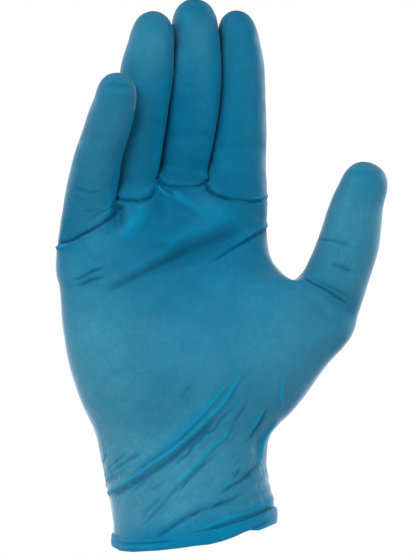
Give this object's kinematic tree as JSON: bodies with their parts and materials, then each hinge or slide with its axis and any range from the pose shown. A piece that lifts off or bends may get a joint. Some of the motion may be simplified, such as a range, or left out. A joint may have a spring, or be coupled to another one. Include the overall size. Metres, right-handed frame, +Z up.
{
  "type": "nitrile glove",
  "caption": "Disposable dipped nitrile glove in its worn form, with a rolled bead at the cuff and a hollow that is open at the wrist.",
  "frame": {"origin": "centre of the cuff's mouth, where the wrist goes in", "axes": "+Z up along the fingers, +X towards the thumb, -Y out of the palm, +Y out of the back of the hand"},
  "size_m": [0.1444, 0.056, 0.2413],
  "materials": {
    "nitrile": "matt to satin blue nitrile film"
  },
  "bodies": {
    "root": {"glove": "nitrile"}
  },
  "joints": []
}
